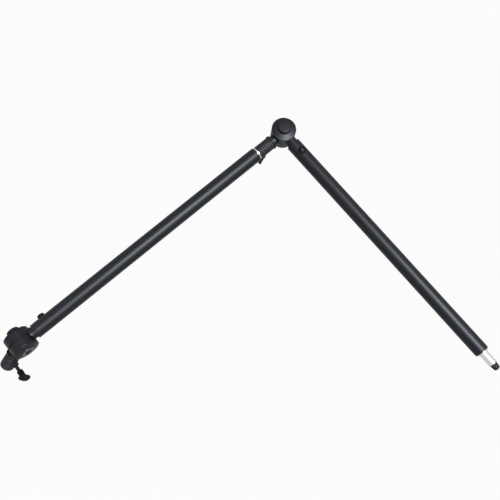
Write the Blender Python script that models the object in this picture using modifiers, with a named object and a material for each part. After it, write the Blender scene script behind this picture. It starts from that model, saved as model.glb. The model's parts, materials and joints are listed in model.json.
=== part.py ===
"""Two-section friction arm with a 16 mm socket at its base and a 16 mm spigot at its free end.

Each section is the same module: a receiver with a thumb screw, a friction hinge, and a tube with a spigot.
The first module's spigot sits in the second module's receiver, which is the elbow.
The origin is the centre of the base receiver's mouth. +Z points up its bore, and +Y along the base hinge.
"""
import math

import bpy
import bmesh
from mathutils import Vector

MM = 0.001
MERGE = 0.01 * MM

# Clearances between pieces, and how far a cutter runs past what it cuts
GAP = 0.3 * MM
SCREW_GAP = 0.3 * MM
CUT_PAST = 2.0 * MM

# Pose of the arm, as it stands in the photograph
BASE_ELEVATION = math.radians(49.3)
ELBOW_SWIVEL = math.radians(96.5)
ELBOW_FOLD = math.radians(179.3)

# Spigot and its thread, and the cap over the free one
STUD_R = 8.0 * MM
SPIGOT_OUT = 26.0 * MM
FLANGE_INSET = 1.5 * MM
FLANGE_STAND = 2.6 * MM
FLANGE_EDGE = 0.4 * MM
SPIGOT_LAND = 3.0 * MM
WAIST_DEPTH = 0.55 * MM
SPIGOT_ROOT_LENGTH = 26.0 * MM
SPIGOT_EDGE = 0.5 * MM
THREAD_R = 4.8 * MM
THREAD_LENGTH = 7.5 * MM
CAP_WALL = 1.3 * MM
CAP_TOP_THICK = 4.2 * MM
CAP_DOME = 2.6 * MM
CAP_TAPER = 1.0 * MM
CAP_SKIRT = 1.2 * MM
CAP_DOME_POINTS = 4

# Tube
TUBE_R = 12.7 * MM
TUBE_WALL = 2.0 * MM
TUBE_LENGTH = 470.0 * MM
TUBE_EDGE = 0.6 * MM

# Hinge
HUB_R = 21.5 * MM
HUB_HALF = 14.6 * MM
HUB_EDGE = 0.9 * MM
HUB_CLEARANCE = 0.8 * MM
BOLT_R = 5.0 * MM
BOLT_HEAD_R = 11.0 * MM
BOLT_HEAD_STAND = 0.8 * MM
BOLT_HEAD_EDGE = 0.6 * MM
BOLT_KEY = 10.0 * MM
BOLT_KEY_DEPTH = 2.0 * MM
BOLT_END_IN = 0.5 * MM
DISC_INSET = 2.0 * MM
DISC_THICK = 1.2 * MM
COVER_RISE = 3.4 * MM
COVER_RIM = 1.1 * MM
COVER_EDGE = 0.5 * MM
SPRING_THICK = 0.8 * MM
SPRING_DISH = 0.4 * MM
NUT_KEY = 17.0 * MM
NUT_THICK = 7.6 * MM
PLUG_R = 10.4 * MM
PLUG_UNDERCUT = 2.2 * MM
PLUG_STAND = 7.0 * MM
PLUG_THICK = 4.6 * MM
PLUG_EDGE = 1.4 * MM
PLUG_CROWN = 0.25 * MM
PLUG_FOOT_EDGE = 0.4 * MM

# Necks and collars, measured from the hinge's axis
NECK_R = 10.0 * MM
NECK_FLARE = 3.6 * MM
NECK_FLARE_IN = 9.0 * MM
NECK_FLARE_OUT = 2.5 * MM
NECK_POINTS = 5
WEB_INSET = 0.2 * MM
WEB_START_IN = 8.0 * MM
WEB_FALL_IN = 3.0 * MM
WEB_TOP_INSET = 0.5 * MM
COLLAR_START = 27.0 * MM
COLLAR_THICK = 3.2 * MM
COLLAR_EDGE = 0.5 * MM
STEM_LENGTH = 34.0 * MM
STEM_EDGE = 1.0 * MM

# Receiver
RECEIVER_LENGTH = 60.0 * MM
BARREL_WALL = 3.2 * MM
RIB_COUNT = 6
RIB_DEPTH = 0.55 * MM
RIB_GROOVE = 1.1 * MM
MOUTH_EDGE = 0.8 * MM
MOUTH_EDGE_IN = 0.5 * MM
MOUTH_LEAD = 0.8 * MM
BORE_SHOULDER = 1.5 * MM
SPIGOT_END_GAP = 1.4 * MM
THREAD_RELIEF = 0.8 * MM

# Thumb screw, which stands square to the receiver's bore
SCREW_FROM_MOUTH = 16.0 * MM
SCREW_R = 3.2 * MM
SCREW_PITCH = 1.27 * MM
BASE_SCREW_TURNS_IN = 5
BOSS_WALL = 2.5 * MM
BOSS_STAND = 2.9 * MM
BOSS_SUNK = 2.7 * MM
PAD_THICK = 1.2 * MM
PAD_EDGE = 0.4 * MM
WING_HUB_WALL = 1.5 * MM
WING_HUB_EDGE = 0.8 * MM
WING_SOCKET_DEPTH = 5.5 * MM
WING_REACH = 51.5 * MM
WING_SPAN = 28.0 * MM
WING_HEIGHT = 15.0 * MM
WING_THICK = 5.0 * MM
WING_TIP_R = 3.0 * MM
WING_TIP_DROP = 6.5 * MM
WING_CROWN = 1.0 * MM
WING_CROWN_HALF = 2.75 * MM
WING_SHOULDER_HALF = 7.15 * MM
WING_TIP_START = -50
WING_TIP_FINISH = 60
WING_TIP_POINTS = 4
WING_HUB_OVERLAP = 2.4 * MM
WING_FLOOR = 0.6 * MM
BASE_WING_TURN = math.radians(-22.6)
ELBOW_WING_TURN = math.radians(67.8)

# Stem screw and its cup washer
STEM_SCREW_X = 49.0 * MM
STEM_SCREW_R = 2.5 * MM
STEM_SCREW_HEAD_R = 3.7 * MM
STEM_SCREW_HEAD = 2.0 * MM
STEM_SCREW_HEAD_EDGE = 0.5 * MM
STEM_SCREW_KEY = 3.0 * MM
STEM_SCREW_KEY_FLOOR = 0.6 * MM
STEM_SCREW_DEPTH = 9.0 * MM
CUP_STAND = 4.4 * MM
CUP_WALL = 1.8 * MM
CUP_EDGE = 1.4 * MM
CUP_WELL_GAP = 0.5 * MM
CUP_WELL_DEPTH = 2.6 * MM

# What follows from them
SPIGOT_WAIST_R = STUD_R - WAIST_DEPTH
ELBOW_GAP = FLANGE_STAND + GAP
FLANGE_R = TUBE_R - FLANGE_INSET
CAP_R = THREAD_R + GAP + CAP_WALL
CAP_LENGTH = THREAD_LENGTH + CAP_TOP_THICK
TUBE_START = COLLAR_START + COLLAR_THICK + GAP
TUBE_END = TUBE_START + TUBE_LENGTH
TUBE_BORE_R = TUBE_R - TUBE_WALL
HALF_START = DISC_THICK / 2 + GAP
HALF_END = HALF_START + HUB_HALF
COVER_START = HALF_END + GAP
COVER_TOP = COVER_START + COVER_RISE
COVER_TOP_R = BOLT_HEAD_R + GAP + COVER_RIM
HEAD_SEAT = COVER_START + SPRING_THICK + SPRING_DISH + GAP
CLEAR_R = HUB_R + HUB_CLEARANCE
BORE_R = STUD_R + GAP
BARREL_R = BORE_R + BARREL_WALL
SPIGOT_TIP_IN = RECEIVER_LENGTH + ELBOW_GAP - SPIGOT_OUT
BORE_END = SPIGOT_TIP_IN - SPIGOT_END_GAP
RELIEF_R = THREAD_R + THREAD_RELIEF
RELIEF_END = SPIGOT_TIP_IN - THREAD_LENGTH - THREAD_RELIEF
BOSS_R = SCREW_R + SCREW_GAP + BOSS_WALL
BOSS_REACH = BARREL_R + BOSS_STAND
PAD_START = STUD_R + GAP
SCREW_END = WING_REACH - WING_HEIGHT
BASE_SCREW_IN = BASE_SCREW_TURNS_IN * SCREW_PITCH
ELBOW_SCREW_IN = WAIST_DEPTH
CUP_WELL_R = STEM_SCREW_HEAD_R + CUP_WELL_GAP
CUP_R = CUP_WELL_R + CUP_WALL

# Sides of the round pieces: large ones, and screws and other small ones
ROUND_STEPS = 24
SMALL_STEPS = 16

ALONG_X = (0, math.radians(90), 0)
FACING_DOWN = (math.radians(180), 0, 0)
DOWN_WITH_BOLT_UP = (math.radians(90), math.radians(90), 0)
TO_PLUG_SIDE = (math.radians(-90), 0, 0)
TO_BOLT_SIDE = (math.radians(90), 0, 0)


def clear_scene():
    for obj in list(bpy.data.objects):
        bpy.data.objects.remove(obj, do_unlink=True)


def new_collection(name):
    collection = bpy.data.collections.new(name)
    bpy.context.scene.collection.children.link(collection)
    return collection


def material(name, colour, roughness, metallic):
    """One Principled material with a plain colour."""
    mat = bpy.data.materials.new(name)
    mat.use_nodes = True
    shader = mat.node_tree.nodes["Principled BSDF"]
    shader.inputs["Base Color"].default_value = (*colour, 1.0)
    shader.inputs["Roughness"].default_value = roughness
    shader.inputs["Metallic"].default_value = metallic
    mat.diffuse_color = (*colour, 1.0)
    return mat


def add_empty(name, parent, location=(0, 0, 0), rotation=(0, 0, 0)):
    """A frame that carries pieces. Its place is measured from its parent."""
    empty = bpy.data.objects.new(name, None)
    empty.empty_display_size = 0.02
    empty.parent = parent
    empty.location = location
    empty.rotation_euler = rotation
    parts.objects.link(empty)
    return empty


def add_object(name, mesh, parent, location, rotation, mat=None):
    """A piece where it has a material, and otherwise a cutter."""
    obj = bpy.data.objects.new(name, mesh)
    obj.parent = parent
    obj.location = location
    obj.rotation_euler = rotation
    if mat is None:
        cutters.objects.link(obj)
        obj.hide_render = True
        obj.display_type = "WIRE"
    else:
        parts.objects.link(obj)
        mesh.materials.append(mat)
    return obj


def turned(name, profile, parent, mat=None, location=(0, 0, 0), rotation=(0, 0, 0), steps=ROUND_STEPS,
           ring=False):
    """A turned shape. The profile is (radius, height) points, from the top down its outer side.

    A ring's profile closes on itself; any other starts and ends on the axis.
    """
    mesh = bpy.data.meshes.new(name)
    points = [(r, 0.0, z) for r, z in profile]
    edges = [(i, i + 1) for i in range(len(points) - 1)]
    if ring:
        edges.append((len(points) - 1, 0))
    mesh.from_pydata(points, edges, [])
    obj = add_object(name, mesh, parent, location, rotation, mat)
    screw = obj.modifiers.new("Turn", "SCREW")
    screw.axis = "Z"
    screw.angle = math.tau
    screw.steps = screw.render_steps = steps
    screw.use_merge_vertices = True
    screw.merge_threshold = MERGE
    screw.use_normal_calculate = False
    return obj


def rod(name, radius, low, high, parent, location=(0, 0, 0), rotation=(0, 0, 0), steps=ROUND_STEPS):
    """A plain round cutter between two heights."""
    profile = [(0, high), (radius, high), (radius, low), (0, low)]
    return turned(name, profile, parent, None, location, rotation, steps)


def hexagon(name, key, low, high, parent, mat=None, location=(0, 0, 0)):
    """A six-sided prism of a given width across its flats, between two heights."""
    mesh = bpy.data.meshes.new(name)
    shape = bmesh.new()
    corner_r = key / 2 / math.cos(math.pi / 6)
    bmesh.ops.create_cone(shape, cap_ends=True, segments=6, radius1=corner_r, radius2=corner_r,
                          depth=high - low)
    bmesh.ops.translate(shape, verts=shape.verts, vec=Vector((0, 0, (low + high) / 2)))
    shape.to_mesh(mesh)
    shape.free()
    return add_object(name, mesh, parent, location, (0, 0, 0), mat)


def boolean(obj, other, operation="DIFFERENCE"):
    modifier = obj.modifiers.new(operation.title(), "BOOLEAN")
    modifier.operation = operation
    modifier.solver = "EXACT"
    modifier.object = other


def smooth(obj):
    """Shades the finished piece smooth, apart from its sharp edges."""
    obj.data.shade_smooth()
    obj.data.set_sharp_from_angle(angle=math.radians(35))


def arc(centre_r, centre_z, radius, start, end, count):
    """Points on an arc in the profile's plane. Angles are in degrees, from +R towards +Z."""
    points = []
    for i in range(count + 1):
        angle = math.radians(start + (end - start) * i / count)
        points.append((centre_r + radius * math.cos(angle), centre_z + radius * math.sin(angle)))
    return points


def hinge_half_profile():
    """One half of the hub before it is cut: a thick disc that starts below its inner face."""
    low = HALF_START - CUT_PAST
    return [(0, HALF_END), (HUB_R - HUB_EDGE, HALF_END), (HUB_R, HALF_END - HUB_EDGE), (HUB_R, low), (0, low)]


def cover_profile(hole_r):
    """A cone over the hub's face, with a hole in its middle."""
    return [(hole_r, COVER_TOP), (COVER_TOP_R, COVER_TOP), (HUB_R, COVER_START + COVER_EDGE),
            (HUB_R, COVER_START), (hole_r, COVER_START)]


def neck_and_collar_points():
    """From inside the hub, down the neck's flare, to the collar that ends it."""
    flare_start = HUB_R - NECK_FLARE_IN
    flare_length = NECK_FLARE_IN + NECK_FLARE_OUT
    points = [(0, flare_start)]
    for i in range(NECK_POINTS):
        share = i / (NECK_POINTS - 1)
        points.append((NECK_R + NECK_FLARE * (1 - share) ** 2, flare_start + flare_length * share))
    end = COLLAR_START + COLLAR_THICK
    points += [(NECK_R, COLLAR_START), (TUBE_R - COLLAR_EDGE, COLLAR_START),
               (TUBE_R, COLLAR_START + COLLAR_EDGE), (TUBE_R, end - COLLAR_EDGE), (TUBE_R - COLLAR_EDGE, end)]
    return points


def neck_web(name, parent, location=(0, 0, 0), rotation=(0, 0, 0)):
    """The neck's tall side, an oval along X that falls from the hub's face, up Z, to the collar."""
    half_width = NECK_R - WEB_INSET
    high = HALF_END - WEB_TOP_INSET
    shape = bmesh.new()
    rings = []
    for x, top in ((HUB_R - WEB_START_IN, high), (HUB_R - WEB_FALL_IN, high),
                   (COLLAR_START + WEB_INSET, half_width)):
        ring = []
        for i in range(ROUND_STEPS):
            turn = math.tau * i / ROUND_STEPS
            height = top if math.sin(turn) > 0 else half_width
            ring.append(shape.verts.new((x, half_width * math.cos(turn), height * math.sin(turn))))
        rings.append(ring)
    for first, second in zip(rings, rings[1:]):
        for i in range(ROUND_STEPS):
            j = (i + 1) % ROUND_STEPS
            shape.faces.new((first[i], first[j], second[j], second[i]))
    shape.faces.new(rings[0])
    shape.faces.new(rings[-1])
    bmesh.ops.recalc_face_normals(shape, faces=shape.faces)
    mesh = bpy.data.meshes.new(name)
    shape.to_mesh(mesh)
    shape.free()
    return add_object(name, mesh, parent, location, rotation)


def barrel_points():
    """The receiver's ribbed outside, from the collar to its mouth."""
    start = COLLAR_START + COLLAR_THICK
    pitch = (RECEIVER_LENGTH - MOUTH_EDGE - start) / RIB_COUNT
    points = []
    for i in range(RIB_COUNT):
        foot = start + i * pitch
        points += [(BARREL_R - RIB_DEPTH, foot), (BARREL_R, foot + RIB_GROOVE), (BARREL_R, foot + pitch)]
    points.append((BARREL_R - MOUTH_EDGE_IN, RECEIVER_LENGTH))
    return points


def bore_points():
    """The socket's inside, from its mouth to the end of the thread relief."""
    return [(BORE_R + MOUTH_LEAD, RECEIVER_LENGTH), (BORE_R, RECEIVER_LENGTH - MOUTH_LEAD),
            (BORE_R, BORE_END), (RELIEF_R, BORE_END - BORE_SHOULDER), (RELIEF_R, RELIEF_END),
            (0, RELIEF_END)]


def build_receiver(prefix, socket):
    """The casting: hub half, then neck, collar and barrel as one turned shape, joined.

    Its frame has the mouth at its origin and the hinge up its Z, along Y.
    """
    centre = (0, 0, RECEIVER_LENGTH)
    at_screw = (0, 0, SCREW_FROM_MOUTH)
    casting = turned(f"{prefix}_receiver", hinge_half_profile(), socket, cast_black, centre, TO_BOLT_SIDE)
    outline = neck_and_collar_points() + barrel_points() + bore_points()
    barrel = turned(f"{prefix}_barrel_form", outline[::-1], socket, None, centre, FACING_DOWN)
    boolean(casting, barrel, "UNION")
    boolean(casting, neck_web(f"{prefix}_receiver_web", socket, centre, DOWN_WITH_BOLT_UP), "UNION")
    other_half = rod(f"{prefix}_barrel_clearance", CLEAR_R, -HALF_START, CLEAR_R, socket, centre,
                     TO_PLUG_SIDE)
    boolean(casting, other_half)
    boss = rod(f"{prefix}_boss_form", BOSS_R, BARREL_R - BOSS_SUNK, BOSS_REACH, socket, at_screw,
               TO_BOLT_SIDE, SMALL_STEPS)
    boolean(casting, boss, "UNION")
    bolt_hole = rod(f"{prefix}_bolt_hole", BOLT_R + GAP, -COVER_TOP, COVER_TOP, socket, centre, TO_BOLT_SIDE)
    boolean(casting, bolt_hole)
    screw_hole = rod(f"{prefix}_screw_hole", SCREW_R + SCREW_GAP, BORE_R / 2, BOSS_REACH + CUT_PAST, socket,
                     at_screw, TO_BOLT_SIDE, SMALL_STEPS)
    boolean(casting, screw_hole)


def build_hub_parts(prefix, socket):
    """Cover and disc spring under the hub, and the friction disc in the hinge."""
    side = add_empty(f"{prefix}_bolt_side", socket, (0, 0, RECEIVER_LENGTH), TO_BOLT_SIDE)
    turned(f"{prefix}_bolt_cover", cover_profile(BOLT_HEAD_R + GAP), side, cast_black, ring=True)
    spring_profile = [(BOLT_R + GAP, COVER_START + SPRING_DISH + SPRING_THICK),
                      (BOLT_HEAD_R - GAP, COVER_START + SPRING_THICK),
                      (BOLT_HEAD_R - GAP, COVER_START),
                      (BOLT_R + GAP, COVER_START + SPRING_DISH)]
    turned(f"{prefix}_disc_spring", spring_profile, side, steel, steps=SMALL_STEPS, ring=True)
    disc_r = HUB_R - DISC_INSET
    disc_profile = [(BOLT_R + GAP, DISC_THICK / 2), (disc_r, DISC_THICK / 2), (disc_r, -DISC_THICK / 2),
                    (BOLT_R + GAP, -DISC_THICK / 2)]
    turned(f"{prefix}_friction_disc", disc_profile, side, fibre, ring=True)


def build_thumb_screw(prefix, socket, wound_in, wing_turn):
    """Tip pad, screw and wing. They stand along -Y of the socket, the bolt's side."""
    screw_frame = add_empty(f"{prefix}_screw_axis", socket, (0, wound_in, SCREW_FROM_MOUTH), TO_BOLT_SIDE)
    turn_frame = add_empty(f"{prefix}_wing_turn", screw_frame, rotation=(0, 0, wing_turn))
    pad_end = PAD_START + PAD_THICK
    pad_profile = [(0, pad_end), (SCREW_R, pad_end), (SCREW_R, PAD_START + PAD_EDGE),
                   (SCREW_R - PAD_EDGE, PAD_START), (0, PAD_START)]
    turned(f"{prefix}_tip_pad", pad_profile, screw_frame, brass, steps=SMALL_STEPS)
    screw_start = pad_end + GAP
    screw_profile = [(0, SCREW_END), (SCREW_R, SCREW_END), (SCREW_R, screw_start), (0, screw_start)]
    turned(f"{prefix}_thumb_screw", screw_profile, turn_frame, screw_black, steps=SMALL_STEPS)
    build_wing(prefix, turn_frame)


def build_wing(prefix, frame):
    """The wing: a hub on the screw that spreads into a flat blade."""
    hub_r = SCREW_R + GAP + WING_HUB_WALL
    hub_low = SCREW_END - WING_SOCKET_DEPTH
    floor = SCREW_END + GAP
    blade_low = floor + WING_FLOOR
    hub_top = blade_low + WING_HUB_OVERLAP
    edge = WING_HUB_EDGE
    hub_profile = [(0, hub_top), (hub_r - edge, hub_top), (hub_r, hub_top - edge), (hub_r, hub_low + edge),
                   (hub_r - edge, hub_low), (SCREW_R + GAP, hub_low), (SCREW_R + GAP, floor), (0, floor)]
    wing = turned(f"{prefix}_thumb_wing", hub_profile, frame, wing_black, steps=SMALL_STEPS)
    plate = flat_plate(f"{prefix}_wing_blade", wing_outline(hub_r - edge, blade_low), WING_THICK)
    blade = add_object(f"{prefix}_wing_blade", plate, frame, (0, 0, 0), TO_BOLT_SIDE)
    boolean(wing, blade, "UNION")


def wing_outline(foot_half, low):
    """The blade from the front: narrow at the hub, round at its two tips, with a low crown between."""
    tip_x = WING_SPAN / 2 - WING_TIP_R
    right = [(foot_half, low)]
    right += arc(tip_x, WING_REACH - WING_TIP_DROP, WING_TIP_R, WING_TIP_START, WING_TIP_FINISH,
                 WING_TIP_POINTS)
    right += [(WING_SHOULDER_HALF, WING_REACH - WING_CROWN), (WING_CROWN_HALF, WING_REACH)]
    return right + [(-x, y) for x, y in reversed(right)]


def flat_plate(name, outline, thickness):
    """A filled outline that is thickened both ways, as a welded mesh in the XY plane."""
    curve = bpy.data.curves.new(name, "CURVE")
    curve.dimensions = "2D"
    curve.fill_mode = "BOTH"
    curve.extrude = thickness / 2
    spline = curve.splines.new("POLY")
    spline.points.add(len(outline) - 1)
    for point, (x, y) in zip(spline.points, outline):
        point.co = (x, y, 0, 1)
    spline.use_cyclic_u = True
    holder = bpy.data.objects.new(name, curve)
    cutters.objects.link(holder)
    graph = bpy.context.evaluated_depsgraph_get()
    mesh = bpy.data.meshes.new_from_object(holder.evaluated_get(graph))
    bpy.data.objects.remove(holder, do_unlink=True)
    shape = bmesh.new()
    shape.from_mesh(mesh)
    bmesh.ops.remove_doubles(shape, verts=shape.verts, dist=MERGE)
    bmesh.ops.recalc_face_normals(shape, faces=shape.faces)
    shape.to_mesh(mesh)
    shape.free()
    return mesh


def build_hinge_head(prefix, hinge):
    """Hub half, then neck, collar and stem as one turned shape, joined, with a pocket for the nut."""
    head = turned(f"{prefix}_hinge_head", hinge_half_profile(), hinge, cast_black)
    stem_r = TUBE_BORE_R - GAP
    stem_end = TUBE_START + STEM_LENGTH
    stem_points = [(stem_r, COLLAR_START + COLLAR_THICK), (stem_r, stem_end - STEM_EDGE),
                   (stem_r - STEM_EDGE, stem_end), (0, stem_end)]
    outline = neck_and_collar_points() + stem_points
    stem = turned(f"{prefix}_stem_form", outline[::-1], hinge, None, rotation=ALONG_X)
    tapped = rod(f"{prefix}_stem_screw_hole", STEM_SCREW_R + SCREW_GAP, TUBE_R - STEM_SCREW_DEPTH - GAP,
                 TUBE_R + CUT_PAST, hinge, (STEM_SCREW_X, 0, 0), steps=SMALL_STEPS)
    boolean(stem, tapped)
    boolean(head, stem, "UNION")
    boolean(head, neck_web(f"{prefix}_head_web", hinge), "UNION")
    boolean(head, rod(f"{prefix}_stem_clearance", CLEAR_R, -CLEAR_R, HALF_START, hinge))
    boolean(head, rod(f"{prefix}_head_bolt_hole", BOLT_R + GAP, -COVER_TOP, COVER_TOP, hinge))
    nut_top = HALF_END - GAP
    nut_low = nut_top - NUT_THICK
    pocket = hexagon(f"{prefix}_nut_pocket", NUT_KEY + 2 * GAP, nut_low - GAP, COVER_TOP, hinge)
    boolean(head, pocket)
    nut = hexagon(f"{prefix}_hinge_nut", NUT_KEY, nut_low, nut_top, hinge, steel)
    nut_bore = rod(f"{prefix}_nut_bore", BOLT_R + GAP, nut_low - CUT_PAST, nut_top + CUT_PAST, hinge)
    boolean(nut, nut_bore)


def build_plug(prefix, hinge):
    """The cover on the plug's side, and the plug that closes its hole, with a waist under its head."""
    neck_r = PLUG_R - PLUG_UNDERCUT
    turned(f"{prefix}_plug_cover", cover_profile(neck_r + GAP), hinge, cast_black, ring=True)
    top = COVER_TOP + PLUG_STAND
    low = top - PLUG_THICK
    foot = COVER_START + GAP
    profile = [(0, top)] + arc(PLUG_R - PLUG_EDGE, top - PLUG_EDGE - PLUG_CROWN, PLUG_EDGE, 90, 0, 3)
    profile += [(PLUG_R, low + PLUG_FOOT_EDGE), (PLUG_R - PLUG_FOOT_EDGE, low), (neck_r, low), (neck_r, foot),
                (0, foot)]
    turned(f"{prefix}_hinge_plug", profile, hinge, plug_black)


def build_bolt(prefix, hinge):
    """Tension bolt, with its head down on the hinge's -Z side."""
    frame = add_empty(f"{prefix}_bolt_turn", hinge)
    end = HALF_END - GAP - BOLT_END_IN
    low = -COVER_TOP - BOLT_HEAD_STAND
    profile = [(0, end), (BOLT_R, end), (BOLT_R, -HEAD_SEAT), (BOLT_HEAD_R, -HEAD_SEAT),
               (BOLT_HEAD_R, low + BOLT_HEAD_EDGE), (BOLT_HEAD_R - BOLT_HEAD_EDGE, low), (0, low)]
    bolt = turned(f"{prefix}_tension_bolt", profile, frame, steel)
    boolean(bolt, hexagon(f"{prefix}_bolt_key", BOLT_KEY, low - CUT_PAST, low + BOLT_KEY_DEPTH, frame))


def build_tube(prefix, hinge):
    """The tube along X, with the hole for the stem screw."""
    profile = [(TUBE_BORE_R, TUBE_END), (TUBE_R - TUBE_EDGE, TUBE_END), (TUBE_R, TUBE_END - TUBE_EDGE),
               (TUBE_R, TUBE_START + TUBE_EDGE), (TUBE_R - TUBE_EDGE, TUBE_START), (TUBE_BORE_R, TUBE_START)]
    tube = turned(f"{prefix}_tube", profile, hinge, tube_black, rotation=ALONG_X, ring=True)
    boolean(tube, rod(f"{prefix}_tube_screw_hole", STEM_SCREW_R + SCREW_GAP, TUBE_BORE_R - CUT_PAST,
                      TUBE_R + CUT_PAST, hinge, (STEM_SCREW_X, 0, 0), steps=SMALL_STEPS))


def build_stem_screw(prefix, hinge):
    """Cup washer, hollowed to sit on the tube, and the stem screw in its well."""
    at_screw = (STEM_SCREW_X, 0, 0)
    top = TUBE_R + CUP_STAND
    well_floor = top - CUP_WELL_DEPTH
    hole_r = STEM_SCREW_R + SCREW_GAP
    profile = [(CUP_WELL_R, top)] + arc(CUP_R - CUP_EDGE, top - CUP_EDGE, CUP_EDGE, 90, 0, 3)
    profile += [(CUP_R, TUBE_BORE_R), (hole_r, TUBE_BORE_R), (hole_r, well_floor), (CUP_WELL_R, well_floor)]
    cup = turned(f"{prefix}_cup_washer", profile, hinge, plug_black, at_screw, ring=True)
    saddle = rod(f"{prefix}_cup_saddle", TUBE_R + GAP, STEM_SCREW_X - 2 * CUP_R, STEM_SCREW_X + 2 * CUP_R,
                 hinge, rotation=ALONG_X)
    boolean(cup, saddle)

    seat = well_floor + GAP
    head_top = seat + STEM_SCREW_HEAD
    end = TUBE_R - STEM_SCREW_DEPTH
    edge = STEM_SCREW_HEAD_EDGE
    profile = [(0, head_top), (STEM_SCREW_HEAD_R - edge, head_top), (STEM_SCREW_HEAD_R, head_top - edge),
               (STEM_SCREW_HEAD_R, seat), (STEM_SCREW_R, seat), (STEM_SCREW_R, end), (0, end)]
    screw = turned(f"{prefix}_stem_screw", profile, hinge, screw_black, at_screw, steps=SMALL_STEPS)
    boolean(screw, hexagon(f"{prefix}_stem_screw_key", STEM_SCREW_KEY, seat + STEM_SCREW_KEY_FLOOR,
                           head_top + CUT_PAST, hinge, location=at_screw))


def build_spigot(prefix, hinge):
    """From its root in the tube: flange on the tube's end, land, waist, land and thread."""
    root_r = TUBE_BORE_R - GAP
    root = TUBE_END - SPIGOT_ROOT_LENGTH
    tip = TUBE_END + SPIGOT_OUT
    end = tip + THREAD_LENGTH
    edge = SPIGOT_EDGE
    shoulder = TUBE_END + FLANGE_STAND
    profile = [(0, end), (THREAD_R - edge, end), (THREAD_R, end - edge), (THREAD_R, tip),
               (STUD_R - edge, tip), (STUD_R, tip - edge), (STUD_R, tip - SPIGOT_LAND),
               (SPIGOT_WAIST_R, tip - SPIGOT_LAND - edge),
               (SPIGOT_WAIST_R, shoulder + SPIGOT_LAND + edge), (STUD_R, shoulder + SPIGOT_LAND),
               (STUD_R, shoulder), (FLANGE_R - FLANGE_EDGE, shoulder), (FLANGE_R, shoulder - FLANGE_EDGE),
               (FLANGE_R, TUBE_END + GAP), (root_r, TUBE_END + GAP), (root_r, root), (0, root)]
    turned(f"{prefix}_spigot", profile, hinge, bright_steel, rotation=ALONG_X)


def build_arm(prefix, hinge):
    """A tube section. Its frame has the hinge at its origin and along Z, and the tube along X."""
    build_hinge_head(prefix, hinge)
    build_plug(prefix, hinge)
    build_bolt(prefix, hinge)
    build_tube(prefix, hinge)
    build_stem_screw(prefix, hinge)
    build_spigot(prefix, hinge)


def build_cap(hinge):
    """The soft cap over the free spigot's thread. It pulls off along the spigot."""
    frame = add_empty("thread_cap_slide", hinge, (TUBE_END + SPIGOT_OUT + GAP, 0, 0), ALONG_X)
    hole_r = THREAD_R + GAP
    top_r = CAP_R - CAP_TAPER
    profile = [(0, CAP_LENGTH)]
    for i in range(1, CAP_DOME_POINTS + 1):
        turn = math.pi / 2 * i / CAP_DOME_POINTS
        profile.append((top_r * math.sin(turn), CAP_LENGTH - CAP_DOME * (1 - math.cos(turn))))
    profile += [(CAP_R, CAP_SKIRT), (CAP_R, 0), (hole_r, 0), (hole_r, THREAD_LENGTH), (0, THREAD_LENGTH)]
    turned("thread_cap", profile, frame, rubber_black)


clear_scene()
parts = new_collection("light_extension_arm")
cutters = new_collection("cutters")

cast_black = material("Black cast metal", (0.020, 0.021, 0.024), 0.45, 0.0)
tube_black = material("Black anodised tube", (0.018, 0.019, 0.022), 0.35, 0.3)
plug_black = material("Black moulded plastic", (0.022, 0.022, 0.025), 0.40, 0.0)
wing_black = material("Black wing plastic", (0.016, 0.016, 0.018), 0.45, 0.0)
rubber_black = material("Black rubber", (0.012, 0.012, 0.012), 0.70, 0.0)
bright_steel = material("Bright plated steel", (0.78, 0.79, 0.80), 0.18, 1.0)
steel = material("Plain steel", (0.45, 0.45, 0.46), 0.35, 1.0)
screw_black = material("Blackened screw", (0.020, 0.020, 0.023), 0.40, 0.0)
brass = material("Brass", (0.70, 0.52, 0.22), 0.35, 1.0)
fibre = material("Friction fibre", (0.05, 0.045, 0.04), 0.85, 0.0)

# The chain of frames: socket, hinge, spigot, socket, hinge
base_socket = add_empty("base_socket", None)
base_seat = add_empty("base_hinge_seat", base_socket, (0, 0, RECEIVER_LENGTH), TO_PLUG_SIDE)
base_hinge = add_empty("base_hinge", base_seat, rotation=(0, 0, -BASE_ELEVATION))
spigot_seat = add_empty("spigot_seat", base_hinge, (TUBE_END + ELBOW_GAP, 0, 0),
                        rotation=(math.radians(90), 0, math.radians(90)))
elbow_socket = add_empty("elbow_socket", spigot_seat, rotation=(0, 0, ELBOW_SWIVEL))
elbow_seat = add_empty("elbow_hinge_seat", elbow_socket, (0, 0, RECEIVER_LENGTH), TO_PLUG_SIDE)
elbow_hinge = add_empty("elbow_hinge", elbow_seat, rotation=(0, 0, ELBOW_FOLD))

build_receiver("base", base_socket)
build_hub_parts("base", base_socket)
build_thumb_screw("base", base_socket, BASE_SCREW_IN, BASE_WING_TURN)
build_arm("lower", base_hinge)
build_receiver("elbow", elbow_socket)
build_hub_parts("elbow", elbow_socket)
build_thumb_screw("elbow", elbow_socket, ELBOW_SCREW_IN, ELBOW_WING_TURN)
build_arm("upper", elbow_hinge)
build_cap(elbow_hinge)

for piece in parts.objects:
    if piece.type == "MESH":
        smooth(piece)
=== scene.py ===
"""The looks of a two-section black friction arm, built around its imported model.

Every piece is made in millimetres in its own frame: a receiver's frame has its mouth at the origin and its
bore up Z, and a section's frame has its hinge at the origin, along Z, and its tube along X.
"""

import json
import math

import bmesh
import bpy
from mathutils import Matrix, Vector


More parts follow.
